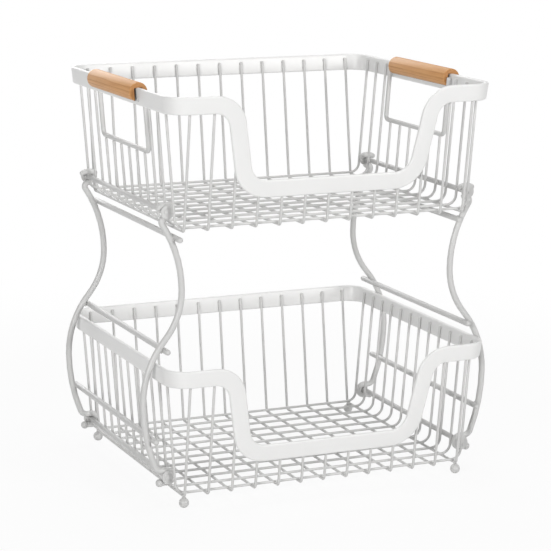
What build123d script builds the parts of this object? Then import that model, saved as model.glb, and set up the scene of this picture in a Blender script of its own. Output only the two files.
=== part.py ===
from build123d import *
from math import acos, asin, atan, copysign, cos, degrees, radians, sin, sqrt
import os

# Tiered wire basket: two wire baskets between two S-curved side frames.
# X is to the right, Y to the back, Z up. The origin is on the table, under the middle.

# Basket walls: outer size of the band at the rim, and of the same faces at floor level
rim_width = 360.0
rim_depth = 320.0
foot_width = 338.0
foot_depth = 282.0
corner_radius = 24.0
basket_height = 136.5  # rim's top edge above the centres of the long floor wires
tier_pitch = 273.5  # one basket above the other

# Rim band and the dip in its front
band_height = 18.0
band_thickness = 4.5
dip_depth = 88.0
dip_mouth_half = 102.0  # where the dip's straight flanks would meet the rim's top edge
dip_floor_half = 86.5  # and where they would meet its level bottom
dip_shoulder_radius = 34.0
dip_floor_radius = 18.0

# Wires
wire_diameter = 2.8
wire_sides = 6
long_wire_count = 13
long_wire_spacing = 26.0
long_bend_radius = 4.0
cross_wire_count = 12
cross_wire_setback = 5.5  # outer cross wires from the bends of the long wires
cross_bend_radius = 11.0
wire_lap = 4.5  # ends of the wires below the band's top edge
weld_gap = 0.05  # between pieces that are welded to each other

# Ball feet under the outermost long wires
foot_diameter = 10.5
foot_flat_depth = 0.15
foot_setback = 2.0  # from the bends of the long wires

# Side rails, their end discs and the hook fingers of the upper basket
rail_diameter = 5.6
rail_height = 18.5  # above the centres of the long floor wires
rail_stub = 0.8  # beyond the discs
disc_diameter = 14.0
disc_thickness = 2.0
disc_gap = 0.4
finger_diameter = 6.0
finger_half_length = 7.0
finger_arch_radius = 14.0

# Grips with the bars below them
grip_diameter = 19.5
grip_length = 132.0
grip_drop = 4.5  # grip's axis below the rim's top edge
grip_end_rounding = 1.5
grip_slot_gap = 0.9  # slot beside the band, whose top edge it is seated on
grip_bar_diameter = 5.0
grip_bar_drop = 65.0
grip_bar_bend_radius = 6.0
grip_bar_gap = 0.6  # beside the grip's ends
rivet_head_diameter = 4.5
rivet_head_height = 1.0
rivet_drop = 12.0

# Side frames: S-curved uprights, joined by three bars
rod_diameter = 6.5
rod_sides = 12
frame_setback = 42.0  # uprights from the rim's front and back
bulge_height = 108.0
bulge_radius = 180.0  # below the widest point
shoulder_share = 0.57  # of the radii of the two arcs between the widest point and the waist
waist_height = 222.0
waist_inset = 16.8  # inside the rails' axes
hook_gap = 0.2  # between a lower rail and the hooks round it
tip_overhang = 7.0  # hook's lower arm beyond the rail's axis
arm_length = 5.1  # hook's upper arm, from the rail's axis to the heel
heel_radius = 8.0
crook_radius = 4.5
crook_overturn = 35.0  # degrees, past the level at the uprights' upper ends
tip_ball_diameter = 8.4
bar_diameter = 6.0
bar_overhang = 12.0  # beyond the uprights' axes
low_bar_rise = 39.7  # above the lower rails
middle_bar_rise = 13.7  # above the lower rim
top_bar_drop = 28.3  # below the upper rails

# Worked out from the sizes above
wire_radius = wire_diameter / 2
rail_radius = rail_diameter / 2
rod_radius = rod_diameter / 2
bar_radius = bar_diameter / 2
foot_radius = foot_diameter / 2
frame_half_depth = rim_depth / 2 - frame_setback
side_slope = (rim_width - foot_width) / 2 / basket_height
end_slope = (rim_depth - foot_depth) / 2 / basket_height
side_lean = atan(side_slope)
end_lean = atan(end_slope)
lower_floor = 2 * foot_radius - foot_flat_depth + weld_gap + wire_radius
upper_floor = lower_floor + tier_pitch
wall_depth = dip_depth + band_height + corner_radius  # of the tapered wall that the band is cut from


def half_width(drop):
    """Half the outer width of the walls, at a depth below the rim's top edge."""
    return rim_width / 2 - drop * side_slope


def half_depth(drop):
    """Half the outer depth of the walls, at a depth below the rim's top edge."""
    return rim_depth / 2 - drop * end_slope


def behind_band(radius, lean):
    """How far inside the walls' outer face a rod's axis lies, if it is welded to the band."""
    return band_thickness + weld_gap + radius / cos(lean)


side_seat = behind_band(wire_radius, side_lean)
end_seat = behind_band(wire_radius, end_lean)
rail_drop = basket_height - rail_height
rail_half_width = half_width(rail_drop) - side_seat + (wire_radius + rail_radius) / cos(side_lean) + weld_gap
floor_bend_half = half_depth(basket_height) - end_seat
lower_rail_z = lower_floor + rail_height
upper_rail_z = upper_floor + rail_height
grip_bar_half = grip_length / 2 + grip_bar_gap + grip_bar_diameter / 2
disc_half = frame_half_depth + rod_radius + disc_gap


def write(node, shape):
    """One file per node, from a shape or a list of separate solids."""
    solids = shape if isinstance(shape, list) else [shape]
    whole = Compound(children=[solid for piece in solids for solid in piece.solids()])
    export_step(whole, f"parts/{node}.step")


def bent_rod(path, radius, sides=None):
    """A rod along a path: round, or with flat sides where many alike are needed."""
    start = Plane(origin=path @ 0, z_dir=path % 0)
    section = RegularPolygon(radius, sides) if sides else Circle(radius)
    return sweep(start * section, path=path)


def rod_along_y(x, z, radius, half_length):
    """A straight rod from front to back with rounded ends."""
    straight = half_length - radius
    rod = Plane.XZ.offset(-straight) * Pos(x, z) * Circle(radius)
    rod = extrude(rod, 2 * straight)
    return rod + [Pos(x, side * straight, z) * Sphere(radius) for side in (-1, 1)]


def both_sides(shape):
    """A shape on the right, and its mirror image on the left."""
    return {"right": shape, "left": mirror(shape, about=Plane.YZ)}


# Rim band

def tapered_wall(rim_z, grow, rise=0.0):
    """The space inside the walls' outer face, with the face moved out by grow."""
    slices = []
    for drop in (wall_depth, -rise):
        plan = RectangleRounded(
            2 * (half_width(drop) + grow), 2 * (half_depth(drop) + grow), corner_radius + grow
        )
        slices.append(Pos(0, 0, rim_z - drop) * plan)
    return loft(slices, ruled=True)


def dip_opening():
    """Front view of the open space above the band's top edge, drawn with the edge at zero height."""
    reach = rim_width
    outline = Polyline(
        (-reach, 0),
        (-dip_mouth_half, 0),
        (-dip_floor_half, -dip_depth),
        (dip_floor_half, -dip_depth),
        (dip_mouth_half, 0),
        (reach, 0),
        (reach, reach),
        (-reach, reach),
        close=True,
    )
    opening = make_face(outline)
    shoulders = [v for v in opening.vertices() if abs(v.Y) < weld_gap and abs(v.X) < rim_width / 2]
    opening = fillet(shoulders, dip_shoulder_radius)
    corners = [v for v in opening.vertices() if abs(v.Y + dip_depth) < weld_gap]
    return fillet(corners, dip_floor_radius)


opening_view = dip_opening()
band_view = offset(opening_view, amount=band_height) - opening_view


def rim_band(rim_z):
    """Flat strip round the rim, which dips at the front and leans with the wires."""
    ring = tapered_wall(rim_z, 0) - tapered_wall(rim_z, -band_thickness)
    front_cut = extrude(Plane.XZ * Pos(0, rim_z) * band_view, rim_depth)
    back_cut = Pos(0, 0, rim_z) * Box(
        rim_width, rim_depth, band_height, align=(Align.CENTER, Align.MIN, Align.MAX)
    )
    return ring & (front_cut + back_cut)


def band_top_drop(x):
    """How far the band's top edge lies below the rim's at a place across the front."""
    slot = Pos(x, 0) * Rectangle(wire_diameter, 2 * rim_width)
    return max(0.0, -(opening_view & slot).bounding_box().min.Y)


# Wires

def long_wires(floor_z):
    """Lowest layer, from front to back, bent up to the rim at both ends."""
    rim_z = floor_z + basket_height
    wires = []
    for index in range(long_wire_count):
        x = (index - (long_wire_count - 1) / 2) * long_wire_spacing
        front_drop = band_top_drop(x) + wire_lap
        path = FilletPolyline(
            (x, end_seat - half_depth(front_drop), rim_z - front_drop),
            (x, -floor_bend_half, floor_z),
            (x, floor_bend_half, floor_z),
            (x, half_depth(wire_lap) - end_seat, rim_z - wire_lap),
            radius=long_bend_radius,
        )
        wires.append(bent_rod(path, wire_radius, wire_sides))
    return wires


def cross_wires(floor_z, short_drop=None):
    """Second layer, from side to side; wires below a grip bar stop at it."""
    rim_z = floor_z + basket_height
    layer_z = floor_z + wire_diameter + weld_gap
    row_half = floor_bend_half - cross_wire_setback
    foot_x = half_width(rim_z - layer_z) - side_seat
    wires = []
    for index in range(cross_wire_count):
        y = row_half * (2 * index / (cross_wire_count - 1) - 1)
        below_bar = short_drop is not None and abs(y) < grip_bar_half
        drop = short_drop if below_bar else wire_lap
        top_x = half_width(drop) - side_seat
        path = FilletPolyline(
            (-top_x, y, rim_z - drop),
            (-foot_x, y, layer_z),
            (foot_x, y, layer_z),
            (top_x, y, rim_z - drop),
            radius=cross_bend_radius,
        )
        wires.append(bent_rod(path, wire_radius, wire_sides))
    return wires


def ball_feet():
    """Four balls on the table, with a small flat each, under the corners of the lower basket."""
    x = (long_wire_count - 1) / 2 * long_wire_spacing
    y = floor_bend_half - foot_setback
    table = Box(rim_width, rim_depth, foot_diameter, align=(Align.CENTER, Align.CENTER, Align.MAX))
    ball_z = foot_radius - foot_flat_depth
    return [Pos(sx * x, sy * y, ball_z) * Sphere(foot_radius) - table for sx in (-1, 1) for sy in (-1, 1)]


# Rails with discs and fingers, on the right

def rail(rail_z):
    """Rod from front to back outside the side wires."""
    half_length = disc_half + disc_thickness + rail_stub
    path = Line((rail_half_width, -half_length, rail_z), (rail_half_width, half_length, rail_z))
    return bent_rod(path, rail_radius)


def rail_discs(rail_z):
    """Washers near the rail's ends, which keep the frame's rods in place."""
    washer = Circle(disc_diameter / 2) - Circle(rail_radius + weld_gap)
    discs = []
    for place in (-disc_half - disc_thickness, disc_half):
        flat = Plane.XZ.offset(-place) * Pos(rail_half_width, rail_z) * washer
        discs.append(extrude(flat, -disc_thickness))
    return discs


def hook_fingers(rail_z):
    """Short arched rods across the rail's top, outside the frame's crooks."""
    radius = finger_diameter / 2
    crown_z = rail_z + rail_radius + radius + weld_gap
    half_turn = degrees(asin(finger_half_length / finger_arch_radius))
    fingers = []
    for y in (-frame_half_depth, frame_half_depth):
        center = (rail_half_width, crown_z - finger_arch_radius)
        arch = CenterArc(center, finger_arch_radius, 90 - half_turn, 2 * half_turn)
        arch = Plane.XZ.offset(-y) * arch
        ends = [Pos(arch @ share) * Sphere(radius) for share in (0, 1)]
        fingers.append(bent_rod(arch, radius) + ends)
    return fingers


# Grips, on the right

def grip(rim_z):
    """Turned wooden grip, slotted from below over the band."""
    x = half_width(grip_drop) - band_thickness / 2
    bar = Pos(x, 0, rim_z - grip_drop) * Rot(90, 0, 0) * Cylinder(grip_diameter / 2, grip_length)
    bar = fillet(bar.edges().filter_by(GeomType.CIRCLE), grip_end_rounding)
    slot = tapered_wall(rim_z, grip_slot_gap, weld_gap) - tapered_wall(
        rim_z, -band_thickness - grip_slot_gap, grip_slot_gap
    )
    return bar - slot


def grip_bar(rim_z):
    """U-shaped rod from the band down and along the side, which the short side wires reach."""
    seat = behind_band(grip_bar_diameter / 2, side_lean)
    top_x = half_width(wire_lap) - seat
    low_x = half_width(grip_bar_drop) - seat
    path = FilletPolyline(
        (top_x, -grip_bar_half, rim_z - wire_lap),
        (low_x, -grip_bar_half, rim_z - grip_bar_drop),
        (low_x, grip_bar_half, rim_z - grip_bar_drop),
        (top_x, grip_bar_half, rim_z - wire_lap),
        radius=grip_bar_bend_radius,
    )
    return bent_rod(path, grip_bar_diameter / 2)


def grip_rivets(rim_z):
    """Low heads on the band's outer face where the grip bars' legs are fixed."""
    turn = 90 + degrees(side_lean)
    rivets = []
    for y in (-grip_bar_half, grip_bar_half):
        place = Pos(half_width(rivet_drop) + weld_gap, y, rim_z - rivet_drop) * Rot(0, turn, 0)
        head = Cylinder(
            rivet_head_diameter / 2, rivet_head_height, align=(Align.CENTER, Align.CENTER, Align.MIN)
        )
        rivets.append(place * fillet(head.edges().sort_by(Axis.Z)[-1:], rivet_head_height / 2))
    return rivets


# Side frame, on the right

hook_radius = rail_radius + hook_gap + rod_radius
arm_z = lower_rail_z + hook_radius
crook_z = upper_rail_z - rail_radius - weld_gap - rod_radius - crook_radius

# The heel is tangent to the hook's level arm and, from inside, to the bulge's lower arc
heel_reach = bulge_radius - heel_radius
heel_rise = bulge_height - arm_z - heel_radius
heel_turn = degrees(acos(heel_rise / heel_reach))
bulge_turn = 90 - heel_turn
bulge_center_x = rail_half_width + arm_length - sqrt(heel_reach**2 - heel_rise**2)
bulge_half_width = bulge_center_x + bulge_radius

# Shoulder and neck arcs turn alike between two upright tangents
waist_half_width = rail_half_width - waist_inset
waist_turn = 2 * degrees(atan((bulge_half_width - waist_half_width) / (waist_height - bulge_height)))
s_reach = (waist_height - bulge_height) / sin(radians(waist_turn))
shoulder_radius = shoulder_share * s_reach
neck_radius = s_reach - shoulder_radius

# The upper arc starts upright at the waist and is tangent to the crook under the rail
crook_rise = crook_z - waist_height
upper_radius = (crook_rise**2 + waist_inset**2 - crook_radius**2) / 2 / (waist_inset + crook_radius)
upper_turn = degrees(asin(crook_rise / (upper_radius + crook_radius)))
upper_center_x = waist_half_width + upper_radius


def upright_path():
    """Centre line in front view, from the tip under the lower rail to the crook under the upper."""
    steps = [
        (hook_radius, -180),
        (arm_length, 0),
        (heel_radius, heel_turn),
        (bulge_radius, bulge_turn),
        (shoulder_radius, waist_turn),
        (neck_radius, -waist_turn),
        (upper_radius, -upper_turn),
        (crook_radius, upper_turn + 90 + crook_overturn),
    ]
    start = Vector(rail_half_width + tip_overhang, lower_rail_z - hook_radius)
    edges = [Line(start, (rail_half_width, lower_rail_z - hook_radius))]
    for size, turn in steps:
        end, heading = edges[-1] @ 1, edges[-1] % 1
        step = JernArc(end, heading, size, turn) if turn else Line(end, end + heading * size)
        edges.append(step)
    return Wire([edge for step in edges for edge in step.edges()])


def upright(y):
    """S-curved rod in one plane, with a hook round the lower rail and a crook for the upper one."""
    path = Plane.XZ.offset(-y) * upright_path()
    return bent_rod(path, rod_radius, rod_sides)


def tip_balls():
    """Ball caps pushed over the ends of the hooks."""
    caps = []
    for y in (-frame_half_depth, frame_half_depth):
        center = (rail_half_width + tip_overhang, y, lower_rail_z - hook_radius)
        ball = Pos(center) * Sphere(tip_ball_diameter / 2)
        socket = Cylinder(
            rod_radius + weld_gap, tip_ball_diameter, align=(Align.CENTER, Align.CENTER, Align.MAX)
        )
        caps.append(ball - Pos(center) * Rot(0, 90, 0) * Pos(0, 0, weld_gap) * socket)
    return caps


def beside_upright(height):
    """Place of a rod welded to the upright's inner side, beside whichever arc lies at its height."""
    beside = rod_radius + bar_radius + weld_gap
    shoulder_reach = shoulder_radius - beside
    shoulder_top = bulge_height + shoulder_reach * sin(radians(waist_turn))
    if height < bulge_height:
        center_x, center_z, reach = bulge_center_x, bulge_height, bulge_radius - beside
    elif height < shoulder_top:
        center_x, center_z, reach = bulge_half_width - shoulder_radius, bulge_height, shoulder_reach
    elif height < waist_height:
        center_x, center_z, reach = waist_half_width + neck_radius, waist_height, -neck_radius - beside
    else:
        center_x, center_z, reach = upper_center_x, waist_height, -upper_radius - beside
    return center_x + copysign(sqrt(reach**2 - (height - center_z) ** 2), reach)


def frame_bars():
    """Three rods from front to back, welded to the inner side of the uprights."""
    half_length = frame_half_depth + bar_overhang
    heights = {
        "low_bar": lower_rail_z + low_bar_rise,
        "middle_bar": lower_floor + basket_height + middle_bar_rise,
        "top_bar": upper_rail_z - top_bar_drop,
    }
    return {
        name: rod_along_y(beside_upright(height), height, bar_radius, half_length)
        for name, height in heights.items()
    }


# All nodes

os.makedirs("parts", exist_ok=True)

grip_bar_clear = grip_bar_drop + grip_bar_diameter / 2 + wire_radius * side_slope + 2 * weld_gap
for tier, floor_z, short_drop in (("lower", lower_floor, None), ("upper", upper_floor, grip_bar_clear)):
    write(f"{tier}_rim_band", rim_band(floor_z + basket_height))
    write(f"{tier}_long_wires", long_wires(floor_z))
    write(f"{tier}_cross_wires", cross_wires(floor_z, short_drop))
    for side, shape in both_sides(rail(floor_z + rail_height)).items():
        write(f"{tier}_{side}_rail", shape)
    for side, shape in both_sides(Compound(rail_discs(floor_z + rail_height))).items():
        write(f"{tier}_{side}_rail_discs", shape)

write("ball_feet", ball_feet())

upper_rim = upper_floor + basket_height
for side, shape in both_sides(Compound(hook_fingers(upper_rail_z))).items():
    write(f"{side}_hook_fingers", shape)
for side, shape in both_sides(grip(upper_rim)).items():
    write(f"{side}_grip", shape)
for side, shape in both_sides(grip_bar(upper_rim)).items():
    write(f"{side}_grip_bar", shape)
for side, shape in both_sides(Compound(grip_rivets(upper_rim))).items():
    write(f"{side}_grip_rivets", shape)

for end, y in (("front", -frame_half_depth), ("rear", frame_half_depth)):
    for side, shape in both_sides(upright(y)).items():
        write(f"{side}_{end}_upright", shape)
for side, shape in both_sides(Compound(tip_balls())).items():
    write(f"{side}_tip_balls", shape)
for name, bar in frame_bars().items():
    for side, shape in both_sides(bar).items():
        write(f"{side}_{name}", shape)
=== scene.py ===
from math import acos, asin, atan, cos, degrees, pi, radians, sin, sqrt, tan

import bmesh
import bpy
from mathutils import Matrix, Vector


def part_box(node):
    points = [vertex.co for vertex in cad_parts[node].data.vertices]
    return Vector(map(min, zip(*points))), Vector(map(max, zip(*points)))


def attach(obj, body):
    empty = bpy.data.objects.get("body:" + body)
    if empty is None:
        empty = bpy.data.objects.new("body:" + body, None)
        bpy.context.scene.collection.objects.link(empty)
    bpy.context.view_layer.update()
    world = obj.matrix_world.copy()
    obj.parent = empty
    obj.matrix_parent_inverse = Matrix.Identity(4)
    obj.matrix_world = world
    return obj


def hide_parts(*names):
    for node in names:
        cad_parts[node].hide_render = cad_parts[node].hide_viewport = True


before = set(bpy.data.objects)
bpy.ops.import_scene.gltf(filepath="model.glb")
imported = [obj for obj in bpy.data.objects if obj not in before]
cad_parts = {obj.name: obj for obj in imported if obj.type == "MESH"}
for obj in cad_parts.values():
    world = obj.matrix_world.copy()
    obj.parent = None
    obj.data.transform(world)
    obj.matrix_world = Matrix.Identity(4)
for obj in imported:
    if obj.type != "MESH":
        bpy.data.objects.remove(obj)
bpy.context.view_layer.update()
bpy.ops.object.select_all(action="DESELECT")

right = Vector((1, 0, 0))
back = Vector((0, 1, 0))
up = Vector((0, 0, 1))
tiers = ("lower", "upper")
sides = {"right": 1, "left": -1}


# Finishes

class Signal:
    # one output of a node, with the arithmetic that the finishes use
    def __init__(self, finish, socket):
        self.finish = finish
        self.socket = socket

    def combined(self, operation, first, second):
        return self.finish.add("Math", {"operation": operation}, {0: first, 1: second})

    def __add__(self, other):
        return self.combined("ADD", self, other)

    def __radd__(self, other):
        return self.combined("ADD", other, self)

    def __sub__(self, other):
        return self.combined("SUBTRACT", self, other)

    def __rsub__(self, other):
        return self.combined("SUBTRACT", other, self)

    def __mul__(self, other):
        return self.combined("MULTIPLY", self, other)

    def __rmul__(self, other):
        return self.combined("MULTIPLY", other, self)

    def __pow__(self, other):
        return self.combined("POWER", self, other)


class Finish:
    # the nodes of a material or of the world
    def __init__(self, owner):
        self.owner = owner
        owner.use_nodes = True
        self.tree = owner.node_tree
        self.tree.nodes.clear()

    def add(self, kind, settings=None, inputs=None, output=0):
        # a node's type, its settings, then the values or links of its sockets
        node = self.tree.nodes.new(f"ShaderNode{kind}")
        for setting, value in (settings or {}).items():
            if setting == "stops":
                self.setStops(node.color_ramp.elements, value)
            else:
                setattr(node, setting, value)
        for socket, value in (inputs or {}).items():
            if isinstance(value, Signal):
                self.tree.links.new(value.socket, node.inputs[socket])
            else:
                node.inputs[socket].default_value = value
        if node.outputs:
            return Signal(self, node.outputs[output])

    def setStops(self, ramp, stops):
        while len(ramp) < len(stops):
            ramp.new(0.5)
        for stop, (place, colour) in zip(ramp, stops):
            stop.position = place
            stop.color = (*colour, 1)

    def mixColours(self, share, first, second):
        # each colour is a link, or a colour written without its alpha
        first, second = (
            colour if isinstance(colour, Signal) else (*colour, 1) for colour in (first, second)
        )
        return self.add("Mix", {"data_type": "RGBA"}, {0: share, 6: first, 7: second}, 2)

    def close(self, shader, kind="OutputMaterial"):
        self.add(kind, None, {"Surface": shader})
        return self.owner


steelLook = {
    "band": {"colour": (0.84, 0.838, 0.83), "shadedColour": (0.81, 0.808, 0.80)},
    # the wires have the band's white coating; their darker colour is painted shade of thin round
    # wires
    "wire": {"colour": (0.65, 0.648, 0.64), "shadedColour": (0.60, 0.598, 0.59)},
    "roughness": 0.30,
    "roughnessSpread": 0.1,
    "shine": 0.5,
    "grain": {"Scale": 900.0, "Detail": 2.0, "Roughness": 0.5},
    "grainStrength": 0.25,
    "grainDepth": 0.00006,
    "cloud": {"Scale": 22.0, "Detail": 3.0, "Roughness": 0.5},
}


def coatedSteel(part):
    finish = Finish(bpy.data.materials.new(f"{part}Steel"))
    place = finish.add("TexCoord", output="Object")
    grain = finish.add("TexNoise", None, {"Vector": place, **steelLook["grain"]}, "Fac")
    cloud = finish.add("TexNoise", None, {"Vector": place, **steelLook["cloud"]}, "Fac")
    look = steelLook[part]
    colour = finish.mixColours(cloud, look["shadedColour"], look["colour"])
    bump = finish.add("Bump", None, {
        "Strength": steelLook["grainStrength"],
        "Distance": steelLook["grainDepth"],
        "Height": grain,
    })
    shader = finish.add("BsdfPrincipled", None, {
        "Base Color": colour,
        "Roughness": steelLook["roughness"] + steelLook["roughnessSpread"] * cloud,
        "Normal": bump,
        "Specular IOR Level": steelLook["shine"],
    })
    return finish.close(shader)


woodLook = {
    "light": (0.74, 0.42, 0.18),
    "middle": (0.64, 0.32, 0.118),
    "dark": (0.45, 0.195, 0.06),
    "middleStop": 0.45,
    "pith": (0.035, 0.0, -0.06),  # middle of the growth rings, from the grip's axis
    "ringSpacing": 0.0032,
    "ringSharpness": 2.2,
    "waver": {"Scale": 60.0, "Detail": 2.0},
    "waverStretch": (1, 0.12, 1),
    "waverReach": 0.0035,
    "fibre": {"Scale": 700.0, "Detail": 3.0, "Roughness": 0.6},
    "fibreStretch": (1, 0.045, 1),
    "fleck": {"Scale": 1500.0, "Detail": 1.0},
    "fleckStretch": (1, 0.16, 1),
    "fleckRange": (0.66, 0.74),
    "shade": {"base": 0.30, "ring": 0.42, "fibre": 0.8, "fleck": 0.4, "end": 0.75},
    "endColour": (0.42, 0.19, 0.065),
    "endSharpness": 3,
    # near black: painted shade for the shadow inside the grips' slots
    "slotShadeColour": (0.045, 0.022, 0.010),
    "slotShadeReach": (0.0003, 0.0007),  # past the slot's walls, from full painted shade to none
    "slotShadeTop": 0.0012,  # below the slot's top, where the painted shade stops
    "grainStrength": 0.25,
    "grainDepth": 0.0001,
    "roughness": 0.44,
    "ringRoughness": 0.12,
    "shine": 0.25,
    "varnish": 0.05,
    "varnishRoughness": 0.3,
}


def drawnOutNoise(finish, place, kind):
    # noise that is stretched along the grip
    along = finish.add("VectorMath", {"operation": "MULTIPLY"}, {
        0: place, 1: woodLook[f"{kind}Stretch"],
    })
    return finish.add("TexNoise", None, {"Vector": along, **woodLook[kind]}, "Fac")


def growthRings(finish, place, gripCentre):
    # from 0 to 1 across each ring, round a pith outside the grip
    pith = [-(centre + offset) for centre, offset in zip(gripCentre, woodLook["pith"])]
    fromPith = finish.add("VectorMath", {"operation": "ADD"}, {0: place, 1: pith})
    flat = finish.add("VectorMath", {"operation": "MULTIPLY"}, {0: fromPith, 1: (1, 0, 1)})
    reach = finish.add("VectorMath", {"operation": "LENGTH"}, {0: flat}, "Value")
    waver = woodLook["waverReach"] * drawnOutNoise(finish, place, "waver")
    turns = (reach + waver) * (1 / woodLook["ringSpacing"])
    return finish.add("Math", {"operation": "FRACT"}, {0: turns}) ** woodLook["ringSharpness"]


def sawnEnds(finish):
    # 1 on the grip's two ends
    normal = finish.add("NewGeometry", output="Normal")
    along = finish.add("VectorMath", {"operation": "DOT_PRODUCT"}, {0: normal, 1: back}, "Value")
    return finish.add("Math", {"operation": "ABSOLUTE"}, {0: along}) ** woodLook["endSharpness"]


def paintedSlotShade(finish, place, slot):
    # 1 on the slot's walls and rims, where the shadow in the slot is painted
    fromSlot = finish.add("VectorMath", {"operation": "SUBTRACT"}, {0: place, 1: slot["middle"]})
    across = finish.add("VectorMath", {"operation": "DOT_PRODUCT"}, {
        0: fromSlot, 1: slot["across"],
    }, "Value")
    away = finish.add("Math", {"operation": "ABSOLUTE"}, {0: across})
    near, far = (slot["width"] / 2 + reach for reach in woodLook["slotShadeReach"])
    beside = finish.add("MapRange", {"clamp": True}, {
        "Value": away, "From Min": near, "From Max": far, "To Min": 1.0, "To Max": 0.0,
    })
    height = finish.add("SeparateXYZ", None, {0: place}, "Z")
    below = finish.add("Math", {"operation": "LESS_THAN"}, {
        0: height, 1: slot["top"] - woodLook["slotShadeTop"],
    })
    return beside * below


def beechWood(name, gripCentre, slot):
    finish = Finish(bpy.data.materials.new(name))
    place = finish.add("TexCoord", output="Object")
    shade = woodLook["shade"]
    ring = growthRings(finish, place, gripCentre)
    fibre = drawnOutNoise(finish, place, "fibre")
    depth = shade["ring"] * ring + shade["fibre"] * (fibre - 0.5) + shade["base"]
    colour = finish.add("ValToRGB", {"stops": [
        (0.0, woodLook["light"]),
        (woodLook["middleStop"], woodLook["middle"]),
        (1.0, woodLook["dark"]),
    ]}, {"Fac": depth}, "Color")
    low, high = woodLook["fleckRange"]
    fleck = finish.add("MapRange", {"clamp": True}, {
        "Value": drawnOutNoise(finish, place, "fleck"),
        "From Min": low, "From Max": high, "To Max": shade["fleck"],
    })
    colour = finish.mixColours(fleck, colour, woodLook["dark"])
    colour = finish.mixColours(shade["end"] * sawnEnds(finish), colour, woodLook["endColour"])
    # painted shade: the slot's walls and rims are painted near black, for the shadow in the slot
    colour = finish.mixColours(paintedSlotShade(finish, place, slot), colour, woodLook["slotShadeColour"])
    bump = finish.add("Bump", None, {
        "Strength": woodLook["grainStrength"], "Distance": woodLook["grainDepth"], "Height": fibre,
    })
    shader = finish.add("BsdfPrincipled", None, {
        "Base Color": colour,
        "Roughness": woodLook["roughness"] + woodLook["ringRoughness"] * ring,
        "Coat Weight": woodLook["varnish"],
        "Coat Roughness": woodLook["varnishRoughness"],
        "Specular IOR Level": woodLook["shine"],
        "Normal": bump,
    })
    return finish.close(shader)


bandSteel = coatedSteel("band")
# the wires' finish is the band's coating painted darker, as painted shade
wireSteelWithPaintedShade = coatedSteel("wire")
print("finishes ready")


# Modelling moves

closeness = 1e-6  # vertices this near are one
usualSmoothing = 35  # degrees between faces that shade as one surface
squareness = 0.9  # how squarely a face looks along an axis to be an end face
throughDepth = (radians(90), 0, 0)  # turns a cylinder's axis from z to y


def activate(piece):
    bpy.ops.object.select_all(action="DESELECT")
    piece.select_set(True)
    bpy.context.view_layer.objects.active = piece


def smoothOver(piece, angle):
    activate(piece)
    bpy.ops.object.shade_smooth_by_angle(angle=radians(angle))


def startPiece(name):
    # the primitive that was just added gets its name, with its place in its mesh
    piece = bpy.context.object
    piece.name = name
    bpy.ops.object.transform_apply(location=True, rotation=True, scale=True)
    bpy.ops.object.mode_set(mode="EDIT")
    bpy.ops.mesh.select_mode(type="VERT")
    bpy.ops.mesh.select_all(action="SELECT")
    return piece


def startBall(name, centre, look):
    bpy.ops.object.select_all(action="DESELECT")
    bpy.ops.mesh.primitive_uv_sphere_add(
        segments=look["segments"], ring_count=look["rings"],
        radius=look["diameter"] / 2, location=centre,
    )
    return startPiece(name)


def startCylinder(name, centre, turn, depth, look):
    bpy.ops.object.select_all(action="DESELECT")
    bpy.ops.mesh.primitive_cylinder_add(
        vertices=look["vertices"], radius=look["diameter"] / 2,
        depth=depth, location=centre, rotation=turn,
    )
    return startPiece(name)


def leaveEditing(piece, smoothing=usualSmoothing):
    bpy.ops.mesh.select_all(action="SELECT")
    bpy.ops.mesh.remove_doubles(threshold=closeness)
    bpy.ops.mesh.normals_make_consistent(inside=False)
    bpy.ops.object.mode_set(mode="OBJECT")
    smoothOver(piece, smoothing)
    return piece


def copyOf(piece, name, shift=(0, 0, 0), mirrored=False):
    activate(piece)
    bpy.ops.object.duplicate(linked=False)
    twin = bpy.context.object
    twin.name = name
    twin.location = shift
    if mirrored:
        twin.scale.x = -1
    bpy.ops.object.transform_apply(location=True, rotation=True, scale=True)
    if mirrored:
        bpy.ops.object.mode_set(mode="EDIT")
        bpy.ops.mesh.select_all(action="SELECT")
        bpy.ops.mesh.normals_make_consistent(inside=False)
        bpy.ops.object.mode_set(mode="OBJECT")
    return twin


def joinAll(pieces, name):
    activate(pieces[0])
    for piece in pieces:
        piece.select_set(True)
    if len(pieces) > 1:
        bpy.ops.object.join()
    joined = bpy.context.object
    joined.name = name
    return joined


def applyModifier(piece, kind, **settings):
    activate(piece)
    modifier = piece.modifiers.new(kind.lower(), kind)
    for setting, value in settings.items():
        setattr(modifier, setting, value)
    bpy.ops.object.modifier_apply(modifier=modifier.name)


def selectFaces(piece, wanted):
    bpy.ops.mesh.select_mode(type="FACE")
    bpy.ops.mesh.select_all(action="DESELECT")
    mesh = bmesh.from_edit_mesh(piece.data)
    for face in mesh.faces:
        face.select = wanted(face)
    bmesh.update_edit_mesh(piece.data)


def extrudeBy(step):
    bpy.ops.mesh.extrude_region_move(TRANSFORM_OT_translate={"value": step})


# Rods: a ring moved along runs and bends, with a rounded end on each side

rodForm = {
    "fewestSteps": 2,  # in a bend
    "rounds": 3,  # in the dome on an end
    "openRound": 0.6,  # of a round, left for the dome's flat middle
    "sliceReach": 1.05,  # of the radius
    "sliceDepth": 0.05,
}


def selectRing(rod, centre, along, radius):
    # the vertices in one flat slice round a place
    bpy.ops.mesh.select_mode(type="VERT")
    bpy.ops.mesh.select_all(action="DESELECT")
    mesh = bmesh.from_edit_mesh(rod.data)
    for vert in mesh.verts:
        away = vert.co - centre
        inSlice = abs(away.dot(along)) < rodForm["sliceDepth"] * radius
        vert.select = inSlice and away.length < rodForm["sliceReach"] * radius
    mesh.select_flush(True)
    bmesh.update_edit_mesh(rod.data)


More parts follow.
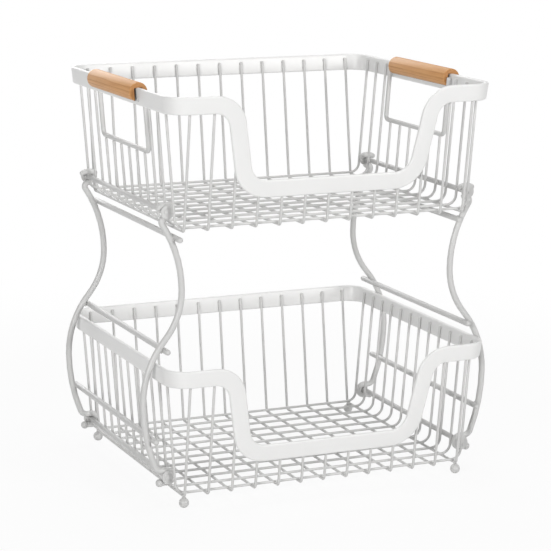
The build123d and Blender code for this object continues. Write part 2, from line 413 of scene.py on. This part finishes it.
def roundOff(centre, outward, reach):
    # closes the selected ring with a dome
    at = centre.copy()
    width, height = 1.0, 0.0
    for count in range(1, rodForm["rounds"] + 1):
        angle = radians(90) * count / (rodForm["rounds"] + rodForm["openRound"])
        step = outward * reach * (sin(angle) - height)
        extrudeBy(step)
        at += step
        share = cos(angle) / width
        bpy.ops.transform.resize(value=(share, share, share), center_override=at)
        width, height = cos(angle), sin(angle)
    bpy.ops.mesh.edge_face_add()


def drawRod(name, start, heading, steps, look):
    # a step is ("run", length) or ("bend", radius, angle, axis)
    radius = look["thickness"] / 2
    heading = heading.normalized()
    bpy.ops.object.select_all(action="DESELECT")
    bpy.ops.mesh.primitive_circle_add(
        vertices=look["vertices"], radius=radius, location=start,
        rotation=heading.to_track_quat("Z", "Y").to_euler(),
    )
    rod = startPiece(name)
    here, ahead = start.copy(), heading.copy()
    for step in steps:
        if step[0] == "run":
            extrudeBy(ahead * step[1])
            here += ahead * step[1]
            continue
        bendRadius, turn, axis = step[1:]
        centre = here + axis.cross(ahead) * bendRadius * (1 if turn > 0 else -1)
        count = max(rodForm["fewestSteps"], round(degrees(abs(turn)) / look["arcStep"]))
        # the spin operator counts its angle the other way round
        bpy.ops.mesh.spin(steps=count, angle=-turn, center=centre, axis=axis)
        turned = Matrix.Rotation(turn, 3, axis)
        here = centre + turned @ (here - centre)
        ahead = turned @ ahead
    roundOff(here, ahead, look["endReach"] * radius)
    selectRing(rod, start, heading, radius)
    roundOff(start, -heading, look["endReach"] * radius)
    return leaveEditing(rod)


def rodThrough(name, corners, look):
    # runs from corner to corner, with a bend at each
    corners = [Vector(corner) for corner in corners]
    steps, spent = [], 0.0
    for before, corner, after in zip(corners, corners[1:], corners[2:]):
        way = (corner - before).normalized()
        leaving = (after - corner).normalized()
        turn = way.angle(leaving)
        setback = look["bend"] * tan(turn / 2)
        steps.append(("run", (corner - before).length - spent - setback))
        steps.append(("bend", look["bend"], turn, way.cross(leaving).normalized()))
        spent = setback
    steps.append(("run", (corners[-1] - corners[-2]).length - spent))
    return drawRod(name, corners[0], corners[1] - corners[0], steps, look)


def straightRod(name, node, look):
    # from front to back through the middle of a node's box
    low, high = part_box(node)
    middle = (low + high) / 2
    inset = look["thickness"] / 2 * look["endReach"]
    start = Vector((middle.x, low.y + inset, middle.z))
    return drawRod(name, start, back, [("run", high.y - low.y - 2 * inset)], look)


def finishPiece(piece, body, nodes, material=wireSteelWithPaintedShade):
    piece.data.materials.clear()
    piece.data.materials.append(material)
    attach(piece, body)
    if nodes:
        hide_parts(*nodes)


# Places that the pieces share, from the frame

walls = {"height": 0.1365, "sideSpread": 0.011, "endSpread": 0.019}  # they lean outward
strip = {"thickness": 0.0045, "rounding": 0.0019, "segments": 5, "edgeAngle": 40, "flatAngle": 0.5}
wire = {"thickness": 0.0028, "vertices": 12, "endReach": 0.4, "gap": 0.00005}
wireRadius = wire["thickness"] / 2
sideSlope = walls["sideSpread"] / walls["height"]
endSlope = walls["endSpread"] / walls["height"]
sideLean = atan(sideSlope)
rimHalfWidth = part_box("lower_rim_band")[1].x
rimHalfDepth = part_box("lower_rim_band")[1].y
rimTop = {tier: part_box(f"{tier}_rim_band")[1].z for tier in tiers}
floorHeight = {tier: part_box(f"{tier}_long_wires")[0].z + wireRadius for tier in tiers}
sideSeat = strip["thickness"] + wireRadius / cos(sideLean) + wire["gap"]
endSeat = strip["thickness"] + wireRadius / cos(atan(endSlope)) + wire["gap"]


def bandSideAt(drop):
    # the outside of the band's side walls, at a depth below the rim
    return rimHalfWidth - drop * sideSlope


def sideAt(drop):
    # where the side wires run
    return bandSideAt(drop) - sideSeat


def endAt(drop):
    # where the front and back wires run
    return rimHalfDepth - drop * endSlope - endSeat


def centreOf(node):
    low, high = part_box(node)
    return (low + high) / 2


# Rim bands: the frame's band with its edges rounded

def rimBand(tier):
    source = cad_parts[f"{tier}_rim_band"]
    band = bpy.data.objects.new(f"{tier}RimBand", source.data.copy())
    bpy.context.scene.collection.objects.link(band)
    activate(band)
    bpy.ops.object.mode_set(mode="EDIT")
    bpy.ops.mesh.select_all(action="SELECT")
    bpy.ops.mesh.remove_doubles(threshold=closeness)
    bpy.ops.mesh.dissolve_limited(angle_limit=radians(strip["flatAngle"]))
    bpy.ops.object.mode_set(mode="OBJECT")
    applyModifier(
        band, "BEVEL", width=strip["rounding"], segments=strip["segments"],
        limit_method="ANGLE", angle_limit=radians(strip["edgeAngle"]),
    )
    smoothOver(band, usualSmoothing)
    return band


for tier in tiers:
    finishPiece(rimBand(tier), f"{tier}_basket", [f"{tier}_rim_band"], bandSteel)
print("rim bands done")


# Long wires, from front to back

longWires = {**wire, "bend": 0.004, "arcStep": 15, "count": 13, "spacing": 0.026, "lap": 0.0045}


def longPlaces():
    half = (longWires["count"] - 1) / 2
    return [(index - half) * longWires["spacing"] for index in range(longWires["count"])]


def frontTopAt(tier, x):
    # height of a long wire's front end, read from the frame
    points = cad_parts[f"{tier}_long_wires"].data.vertices
    return max(v.co.z for v in points if abs(v.co.x - x) < wire["thickness"] and v.co.y < 0)


def longWire(tier, x, frontTop):
    footHalf = endAt(walls["height"])
    backTop = rimTop[tier] - longWires["lap"]
    return rodThrough("longWire", [
        (x, -endAt(rimTop[tier] - frontTop), frontTop),
        (x, -footHalf, floorHeight[tier]),
        (x, footHalf, floorHeight[tier]),
        (x, endAt(longWires["lap"]), backTop),
    ], longWires)


def allLongWires(tier):
    # wires of one height, to a tenth of a millimetre, are copies of the first
    made, wires = {}, []
    for x in longPlaces():
        frontTop = frontTopAt(tier, x)
        height = round(frontTop, 4)
        if height in made:
            first, firstX = made[height]
            wires.append(copyOf(first, "longWire", (x - firstX, 0, 0)))
        else:
            wires.append(longWire(tier, x, frontTop))
            made[height] = (wires[-1], x)
    return joinAll(wires, f"{tier}LongWires")


# Cross wires, from side to side, on top of the long ones

crossWires = {**wire, "bend": 0.011, "arcStep": 12, "count": 12, "setback": 0.0055, "lap": 0.0045}
crossRowHalf = endAt(walls["height"]) - crossWires["setback"]
crossSpacing = 2 * crossRowHalf / (crossWires["count"] - 1)
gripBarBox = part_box("right_grip_bar")
shortDrop = rimTop["upper"] - gripBarBox[0].z + wireRadius * sideSlope


def crossPlaces():
    return [index * crossSpacing - crossRowHalf for index in range(crossWires["count"])]


def stopsAtBar(tier, y):
    # the wires under a grip end at its bar
    return tier == "upper" and abs(y) < gripBarBox[1].y


def crossWire(tier, y, drop):
    top = rimTop[tier] - drop
    layer = floorHeight[tier] + wire["thickness"] + wire["gap"]
    footHalf = sideAt(rimTop[tier] - layer)
    return rodThrough("crossWire", [
        (-sideAt(drop), y, top),
        (-footHalf, y, layer),
        (footHalf, y, layer),
        (sideAt(drop), y, top),
    ], crossWires)


def allCrossWires(tier):
    made, wires = {}, []
    for y in crossPlaces():
        drop = shortDrop if stopsAtBar(tier, y) else crossWires["lap"]
        if drop in made:
            first, firstY = made[drop]
            wires.append(copyOf(first, "crossWire", (0, y - firstY, 0)))
        else:
            wires.append(crossWire(tier, y, drop))
            made[drop] = (wires[-1], y)
    return joinAll(wires, f"{tier}CrossWires")


for tier in tiers:
    finishPiece(allLongWires(tier), f"{tier}_basket", [f"{tier}_long_wires"])
    finishPiece(allCrossWires(tier), f"{tier}_basket", [f"{tier}_cross_wires"])
print("wires done")


# Weld beads where wires cross and where pieces meet

beads = {
    "floor": (0.0012, 0.0012, 0.0006),
    "frontRim": (0.0019, 0.0009, 0.0022),
    "sideRim": (0.0009, 0.0019, 0.0022),
    "rail": (0.0008, 0.0021, 0.0017),
    "bar": (0.0009, 0.0030, 0.0030),
    "finger": (0.0028, 0.0030, 0.0010),
    "foot": (0.0024, 0.0024, 0.0010),
    "segments": 10,
    "rings": 6,
    "smoothing": 60,
    "barReach": 0.01,  # how far from a bar's middle an upright is looked for
}


def weldBead(name, place, kind):
    # a flattened drop of weld metal under the coating
    bpy.ops.object.select_all(action="DESELECT")
    bpy.ops.mesh.primitive_uv_sphere_add(
        segments=beads["segments"], ring_count=beads["rings"],
        radius=1, location=place, scale=beads[kind],
    )
    return leaveEditing(startPiece(name), beads["smoothing"])


def weldsAt(name, places, kind):
    # one bead is modelled at the origin and copied to each place
    first = weldBead(name, (0, 0, 0), kind)
    copies = [copyOf(first, name, place) for place in places]
    bpy.data.objects.remove(first)
    return joinAll(copies, name)


def floorBeads(tier):
    corner = (longPlaces()[0], -crossRowHalf, floorHeight[tier] + wireRadius)
    grid = weldBead(f"{tier}FloorWelds", corner, "floor")
    for count, offset in (
        (longWires["count"], (longWires["spacing"], 0, 0)),
        (crossWires["count"], (0, crossSpacing, 0)),
    ):
        applyModifier(
            grid, "ARRAY", count=count, use_relative_offset=False,
            use_constant_offset=True, constant_offset_displace=offset,
        )
    return grid


def rimBeads(tier):
    # at the wires' upper ends, between wire and band
    endPlaces, sidePlaces = [], []
    backY = endAt(longWires["lap"]) + wireRadius
    backHeight = rimTop[tier] - longWires["lap"] - wireRadius
    for x in longPlaces():
        frontTop = frontTopAt(tier, x)
        frontY = -endAt(rimTop[tier] - frontTop) - wireRadius
        endPlaces += [(x, frontY, frontTop - wireRadius), (x, backY, backHeight)]
    side = sideAt(crossWires["lap"]) + wireRadius
    sideHeight = rimTop[tier] - crossWires["lap"] - wireRadius
    for y in crossPlaces():
        if not stopsAtBar(tier, y):
            sidePlaces += [(side, y, sideHeight), (-side, y, sideHeight)]
    return joinAll([
        weldsAt("frontRimWelds", endPlaces, "frontRim"),
        weldsAt("sideRimWelds", sidePlaces, "sideRim"),
    ], f"{tier}RimWelds")


def railBeads(tier):
    # where the side wires pass the rails
    height = centreOf(f"{tier}_right_rail").z
    side = sideAt(rimTop[tier] - height) + wireRadius
    places = [(sign * side, y, height) for y in crossPlaces() for sign in sides.values()]
    return weldsAt(f"{tier}RailWelds", places, "rail")


for tier in tiers:
    for welds in (floorBeads(tier), rimBeads(tier), railBeads(tier)):
        finishPiece(welds, f"{tier}_basket", [])
print("welds done")


# Side rails with their discs

rail = {"thickness": 0.0056, "vertices": 20, "endReach": 0.35}
disc = {
    "diameter": 0.014,
    "thickness": 0.002,
    "vertices": 40,
    "edge": 0.00035,
    "edgeSegments": 2,
    "collar": 0.0006,
    "collarWidth": 0.0009,
    "collarSlope": 0.9,
}


def railDisc(name, centre):
    # a washer with softened edges and a low collar of weld on each face
    washer = startCylinder(name, centre, throughDepth, disc["thickness"], disc)
    flatArea = disc["diameter"] ** 2 / 4
    collarRadius = rail["thickness"] / 2 + disc["collarWidth"]
    selectFaces(washer, lambda face: abs(face.normal.y) > squareness)
    bpy.ops.mesh.bevel(offset=disc["edge"], segments=disc["edgeSegments"], affect="EDGES")
    selectFaces(
        washer, lambda face: abs(face.normal.y) > squareness and face.calc_area() > flatArea,
    )
    toCollar = disc["diameter"] / 2 - disc["edge"] - collarRadius
    bpy.ops.mesh.inset(thickness=toCollar, use_individual=True)
    bpy.ops.mesh.extrude_faces_move(TRANSFORM_OT_shrink_fatten={"value": disc["collar"]})
    bpy.ops.mesh.inset(thickness=disc["collarWidth"] * disc["collarSlope"], use_individual=True)
    return leaveEditing(washer)


def discPair(tier, side):
    low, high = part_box(f"{tier}_{side}_rail_discs")
    middle = (low + high) / 2
    reach = high.y - middle.y - disc["thickness"] / 2
    front = railDisc("disc", middle - back * reach)
    rear = copyOf(front, "disc", (0, 2 * reach, 0))
    return joinAll([front, rear], f"{tier}{side.capitalize()}Discs")


for tier in tiers:
    for side in sides:
        node = f"{tier}_{side}_rail"
        rod = straightRod(f"{tier}{side.capitalize()}Rail", node, rail)
        finishPiece(rod, f"{tier}_basket", [node])
        finishPiece(discPair(tier, side), f"{tier}_basket", [f"{node}_discs"])
print("rails done")


# Uprights: S-curved rods with a hook below and a crook above

upright = {
    "thickness": 0.0065,
    "vertices": 20,
    "arcStep": 5,
    "endReach": 0.5,
    "bulgeHeight": 0.108,
    "bulgeRadius": 0.180,
    "shoulderShare": 0.57,
    "waistHeight": 0.222,
    "waistInset": 0.0168,
    "hookGap": 0.0002,
    "tipOverhang": 0.007,
    "armLength": 0.0051,
    "heelRadius": 0.008,
    "crookRadius": 0.0045,
    "crookOverturn": radians(35),
}
lowerRail = centreOf("lower_right_rail")
upperRail = centreOf("upper_right_rail")
uprightY = centreOf("right_front_upright").y
railRadius = rail["thickness"] / 2
rodRadius = upright["thickness"] / 2
hookRadius = railRadius + upright["hookGap"] + rodRadius


def uprightSteps():
    # from the hook's tip up to the crook, with each arc running into the next
    bulgeRadius, waistInset = upright["bulgeRadius"], upright["waistInset"]
    heelRadius, crookRadius = upright["heelRadius"], upright["crookRadius"]
    armHeight = lowerRail.z + hookRadius
    crookHeight = upperRail.z - railRadius - wire["gap"] - rodRadius - crookRadius
    heelReach = bulgeRadius - heelRadius
    heelRise = upright["bulgeHeight"] - armHeight - heelRadius
    heelTurn = acos(heelRise / heelReach)
    bulgeSide = upright["armLength"] - sqrt(heelReach ** 2 - heelRise ** 2) + bulgeRadius
    waistRise = upright["waistHeight"] - upright["bulgeHeight"]
    waistTurn = 2 * atan((bulgeSide + waistInset) / waistRise)
    bothRadii = waistRise / sin(waistTurn)
    shoulderRadius = upright["shoulderShare"] * bothRadii
    crookRise = crookHeight - upright["waistHeight"]
    upperRadius = crookRise ** 2 + waistInset ** 2 - crookRadius ** 2
    upperRadius = upperRadius / 2 / (waistInset + crookRadius)
    upperTurn = asin(crookRise / (upperRadius + crookRadius))
    towards = -back
    return [
        ("run", upright["tipOverhang"]),
        ("bend", hookRadius, -pi, towards),
        ("run", upright["armLength"]),
        ("bend", heelRadius, heelTurn, towards),
        ("bend", bulgeRadius, pi / 2 - heelTurn, towards),
        ("bend", shoulderRadius, waistTurn, towards),
        ("bend", bothRadii - shoulderRadius, -waistTurn, towards),
        ("bend", upperRadius, -upperTurn, towards),
        ("bend", crookRadius, upperTurn + pi / 2 + upright["crookOverturn"], towards),
    ]


def allUprights():
    lowEnd = Vector((lowerRail.x + upright["tipOverhang"], uprightY, lowerRail.z - hookRadius))
    first = drawRod("rightFrontUpright", lowEnd, -right, uprightSteps(), upright)
    toRear = (0, -2 * uprightY, 0)
    return {
        "right_front_upright": first,
        "right_rear_upright": copyOf(first, "rightRearUpright", toRear),
        "left_front_upright": copyOf(first, "leftFrontUpright", mirrored=True),
        "left_rear_upright": copyOf(first, "leftRearUpright", toRear, mirrored=True),
    }


uprights = allUprights()
for node, piece in uprights.items():
    side = node.split("_")[0]
    finishPiece(piece, f"{side}_frame", [node])


# Ball caps on the uprights' tips, and the bars between the uprights

tip = {
    "diameter": 0.0084,
    "segments": 28,
    "rings": 16,
    "smoothing": 50,
    "seat": 0.0031,
    "sleeve": 0.0014,
    "taper": 0.88,
}
frameBar = {"thickness": 0.006, "vertices": 20, "endReach": 1.0}
barLevels = ("low", "middle", "top")


def tipBall(centre, inward):
    # a ball cap, cut flat and drawn out to a short sleeve over the rod's end
    ball = startBall("tipBall", centre, tip)
    seat = centre + inward * tip["seat"]
    sleeve = inward * tip["sleeve"]
    bpy.ops.mesh.bisect(
        plane_co=seat, plane_no=inward, use_fill=True, clear_outer=True, threshold=closeness,
    )
    extrudeBy(sleeve)
    bpy.ops.transform.resize(value=(tip["taper"],) * 3, center_override=seat + sleeve)
    return leaveEditing(ball, tip["smoothing"])


def tipBalls(side):
    low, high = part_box(f"{side}_tip_balls")
    middle = (low + high) / 2
    reach = (high.y - low.y - tip["diameter"]) / 2
    inward = -right * sides[side]
    balls = [tipBall(middle + back * row * reach, inward) for row in (-1, 1)]
    return joinAll(balls, f"{side}TipBalls")


def barBeads(side):
    # where each bar touches the two uprights
    places = []
    for level in barLevels:
        middle = centreOf(f"{side}_{level}_bar")
        for row in ("front", "rear"):
            node = f"{side}_{row}_upright"
            beside = Vector((middle.x, centreOf(node).y, middle.z))
            for way in (right, -right):
                found, place, _, _ = uprights[node].ray_cast(
                    beside, way, distance=beads["barReach"],
                )
                if found:
                    places.append(place)
    return weldsAt(f"{side}BarWelds", places, "bar")


for side in sides:
    finishPiece(tipBalls(side), f"{side}_frame", [f"{side}_tip_balls"])
    for level in barLevels:
        node = f"{side}_{level}_bar"
        bar = straightRod(f"{side}{level.capitalize()}Bar", node, frameBar)
        finishPiece(bar, f"{side}_frame", [node])
    finishPiece(barBeads(side), f"{side}_frame", [])
print("side frames done")


# Hook fingers over the upper rails

finger = {"thickness": 0.006, "vertices": 20, "arcStep": 8, "endReach": 1.0, "arch": 0.014}


def hookFingers(side):
    low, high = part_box(f"{side}_hook_fingers")
    radius = finger["thickness"] / 2
    halfTurn = asin(((high.x - low.x) / 2 - radius) / finger["arch"])
    crown = Vector(((low.x + high.x) / 2, low.y + radius, high.z - radius))
    start = crown + Vector((-sin(halfTurn), 0, cos(halfTurn) - 1)) * finger["arch"]
    heading = Vector((cos(halfTurn), 0, sin(halfTurn)))
    arch = [("bend", finger["arch"], 2 * halfTurn, back)]
    front = drawRod("finger", start, heading, arch, finger)
    rear = copyOf(front, "finger", (0, high.y - low.y - finger["thickness"], 0))
    return joinAll([front, rear], f"{side}HookFingers")


def fingerBeads():
    low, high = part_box("right_hook_fingers")
    reach = (high.y - low.y - finger["thickness"]) / 2
    top = upperRail.z + railRadius
    places = [
        (sign * upperRail.x, row * reach, top) for sign in sides.values() for row in (-1, 1)
    ]
    return weldsAt("fingerWelds", places, "finger")


for side in sides:
    finishPiece(hookFingers(side), "upper_basket", [f"{side}_hook_fingers"])
finishPiece(fingerBeads(), "upper_basket", [])


# Grips of turned wood, slotted from below over the band

grip = {
    "diameter": 0.0195,
    "vertices": 72,
    "rounding": 0.0015,
    "roundingSegments": 4,
    "smoothing": 30,
    "slotGap": 0.0020,
    "slotDepth": 0.03,
    "slotLength": 0.2,
}
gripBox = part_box("right_grip")
gripRadius = grip["diameter"] / 2
gripMiddle = Vector((gripBox[1].x - gripRadius, 0, gripBox[1].z - gripRadius))


def slotInGrip():
    # the slot follows the band's lean
    top = rimTop["upper"] + wire["gap"]
    height = top - grip["slotDepth"] / 2
    x = bandSideAt(rimTop["upper"] - height) - strip["thickness"] / 2
    return {
        "middle": Vector((x, 0, height)),
        "across": Vector((cos(sideLean), 0, -sin(sideLean))),
        "width": strip["thickness"] + 2 * grip["slotGap"],
        "top": top,
    }


def rightGrip(slot):
    depth = gripBox[1].y - gripBox[0].y
    handle = startCylinder("rightGrip", gripMiddle, throughDepth, depth, grip)
    selectFaces(handle, lambda face: abs(face.normal.y) > squareness)
    bpy.ops.mesh.bevel(
        offset=grip["rounding"], segments=grip["roundingSegments"], affect="EDGES",
    )
    leaveEditing(handle, grip["smoothing"])
    bpy.ops.object.select_all(action="DESELECT")
    bpy.ops.mesh.primitive_cube_add(
        size=1, location=slot["middle"], rotation=(0, sideLean, 0),
        scale=(slot["width"] * cos(sideLean), grip["slotLength"], grip["slotDepth"]),
    )
    cutter = bpy.context.object
    applyModifier(handle, "BOOLEAN", operation="DIFFERENCE", object=cutter, solver="EXACT")
    bpy.data.objects.remove(cutter)
    smoothOver(handle, grip["smoothing"])
    return handle


rightSlot = slotInGrip()
handle = rightGrip(rightSlot)
handles = {"right": handle, "left": copyOf(handle, "leftGrip", mirrored=True)}
for side, sign in sides.items():
    flip = Matrix.Diagonal((sign, 1, 1))
    slot = {**rightSlot, "middle": flip @ rightSlot["middle"], "across": flip @ rightSlot["across"]}
    wood = beechWood(f"{side}Beech", flip @ gripMiddle, slot)
    finishPiece(handles[side], "upper_basket", [f"{side}_grip"], wood)


# U-shaped bars below the grips

gripBar = {"thickness": 0.005, "vertices": 18, "arcStep": 12, "endReach": 0.4, "bend": 0.006}


def rightGripBar():
    low, high = gripBarBox
    radius = gripBar["thickness"] / 2
    seat = strip["thickness"] + wire["gap"] + radius / cos(sideLean)
    half = high.y - radius
    lowHeight = low.z + radius
    topHeight = rimTop["upper"] - longWires["lap"]
    lowX = bandSideAt(rimTop["upper"] - lowHeight) - seat
    topX = bandSideAt(longWires["lap"]) - seat
    return rodThrough("rightGripBar", [
        (topX, -half, topHeight), (lowX, -half, lowHeight),
        (lowX, half, lowHeight), (topX, half, topHeight),
    ], gripBar)


bar = rightGripBar()
bars = {"right": bar, "left": copyOf(bar, "leftGripBar", mirrored=True)}
for side in sides:
    finishPiece(bars[side], "upper_basket", [f"{side}_grip_bar"])


# Hollow rivets in the band, beside the grips

rivet = {
    "diameter": 0.0045,
    "vertices": 24,
    "height": 0.001,
    "drop": 0.012,  # below the rim
    "edge": 0.00055,
    "edgeSegments": 3,
    "hole": 0.0016,
    "holeDepth": 0.0008,
    "topSquareness": 0.99,
}


def rightRivets():
    low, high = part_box("right_grip_rivets")
    drop = rivet["drop"]
    outward = Vector((cos(sideLean), 0, -sin(sideLean)))
    foot = Vector((bandSideAt(drop), low.y + rivet["diameter"] / 2, rimTop["upper"] - drop))
    head = startCylinder(
        "rivet", foot + outward * rivet["height"] / 2,
        outward.to_track_quat("Z", "Y").to_euler(), rivet["height"], rivet,
    )
    selectFaces(head, lambda face: face.normal.dot(outward) > squareness)
    bpy.ops.mesh.bevel(offset=rivet["edge"], segments=rivet["edgeSegments"], affect="EDGES")
    selectFaces(head, lambda face: (
        face.normal.dot(outward) > rivet["topSquareness"] and face.calc_area() > rivet["hole"] ** 2
    ))
    bpy.ops.mesh.inset(thickness=rivet["diameter"] / 2 - rivet["edge"] - rivet["hole"] / 2)
    extrudeBy(-outward * rivet["holeDepth"])
    leaveEditing(head)
    rear = copyOf(head, "rivet", (0, high.y - low.y - rivet["diameter"], 0))
    return joinAll([head, rear], "rightRivets")


rivets = rightRivets()
heads = {"right": rivets, "left": copyOf(rivets, "leftRivets", mirrored=True)}
for side in sides:
    finishPiece(heads[side], "upper_basket", [f"{side}_grip_rivets"])
print("grips done")


# Ball feet, each with a small flat to stand on

feet = {"diameter": 0.0105, "segments": 32, "rings": 20, "smoothing": 80, "flat": 0.00015}


def ballFeet():
    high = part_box("ball_feet")[1]
    radius = feet["diameter"] / 2
    balls, places = [], []
    for x in (radius - high.x, high.x - radius):
        for y in (radius - high.y, high.y - radius):
            ball = startBall("ballFoot", (x, y, radius - feet["flat"]), feet)
            bpy.ops.mesh.bisect(
                plane_co=(0, 0, 0), plane_no=up, use_fill=True, clear_inner=True,
                threshold=closeness,
            )
            balls.append(leaveEditing(ball, feet["smoothing"]))
            places.append((x, y, feet["diameter"] - feet["flat"]))
    return joinAll(balls, "ballFeet"), weldsAt("footWelds", places, "foot")


footBalls, footWelds = ballFeet()
finishPiece(footBalls, "lower_basket", ["ball_feet"])
finishPiece(footWelds, "lower_basket", [])
print("feet done")


# Floor, light and camera

stage = {
    "floor": 6.0,
    "floorColour": (0.86, 0.86, 0.86, 1),
    "white": (1, 1, 1, 1),
    "whiteness": 0.92,  # how much of the floor is plain white to the camera, near the object
    "fade": (0.35, 1.0),  # where the floor turns to plain white, from the middle
    "ambient": 0.15,
}


def plainlySeen(finish):
    # 1 where the camera, a reflection or a clear piece sees the background
    seen = finish.add("LightPath", output="Is Camera Ray")
    for ray in ("Is Glossy Ray", "Is Transmission Ray"):
        other = finish.add("LightPath", output=ray)
        seen = finish.add("Math", {"operation": "MAXIMUM"}, {0: seen, 1: other})
    return seen


def paleFloor():
    finish = Finish(bpy.data.materials.new("paleFloor"))
    place = finish.add("TexCoord", output="Object")
    away = finish.add("VectorMath", {"operation": "LENGTH"}, {0: place}, "Value")
    near, far = stage["fade"]
    whiteness = finish.add("MapRange", {"clamp": True, "interpolation_type": "SMOOTHSTEP"}, {
        "Value": away, "From Min": near, "From Max": far,
        "To Min": stage["whiteness"], "To Max": 1.0,
    })
    matt = finish.add("BsdfDiffuse", None, {"Color": stage["floorColour"]})
    white = finish.add("Emission", None, {"Color": stage["white"], "Strength": 1.0})
    share = whiteness * plainlySeen(finish)
    mixed = finish.add("MixShader", None, {0: share, 1: matt, 2: white})
    bpy.ops.object.select_all(action="DESELECT")
    bpy.ops.mesh.primitive_plane_add(size=stage["floor"], location=(0, 0, 0))
    floor = bpy.context.object
    floor.name = "studioFloor"
    floor.data.materials.append(finish.close(mixed))


def studioWorld():
    finish = Finish(bpy.data.worlds.new("studioWorld"))
    ambient, white = (
        finish.add("Background", None, {"Color": stage["white"], "Strength": strength})
        for strength in (stage["ambient"], 1.0)
    )
    mixed = finish.add("MixShader", None, {0: plainlySeen(finish), 1: ambient, 2: white})
    bpy.context.scene.world = finish.close(mixed, "OutputWorld")


lamps = {
    "key": {"place": (1.3, -3.0, 1.3), "size": 1.0, "power": 45.0},
    "fill": {"place": (-2.8, -2.4, 1.0), "size": 1.0, "power": 57.0},
    "rear": {"place": (0.2, 3.2, 1.5), "size": 2.0, "power": 28.0},
    "top": {"place": (0.2, 0.3, 3.4), "size": 1.4, "power": 40.0},
}
lampAim = Vector((0, 0, 0.2))


def softLamp(name, look):
    place = Vector(look["place"])
    turn = (lampAim - place).to_track_quat("-Z", "Y").to_euler()
    bpy.ops.object.light_add(type="AREA", location=place, rotation=turn)
    lamp = bpy.context.object
    lamp.name = f"{name}Lamp"
    lamp.data.size = look["size"]
    lamp.data.energy = look["power"]


shot = {
    "place": (-0.91858, -2.09166, 0.6783),
    "yaw": -23.77,
    "pitch": -11.75,
    "roll": 0.36,
    "lens": 140.98,
    "sensor": 36,
}


def photoCamera():
    data = bpy.data.cameras.new("photoCamera")
    camera = bpy.data.objects.new("photoCamera", data)
    bpy.context.scene.collection.objects.link(camera)
    camera.matrix_world = (
        Matrix.Translation(shot["place"])
        @ Matrix.Rotation(radians(shot["yaw"]), 4, "Z")
        @ Matrix.Rotation(radians(90 + shot["pitch"]), 4, "X")
        @ Matrix.Rotation(radians(shot["roll"]), 4, "Z")
    )
    data.lens = shot["lens"]
    data.sensor_width = shot["sensor"]
    bpy.context.scene.camera = camera


paleFloor()
studioWorld()
for name, look in lamps.items():
    softLamp(name, look)
photoCamera()
bpy.context.scene.view_settings.view_transform = "Standard"
print("studio ready")
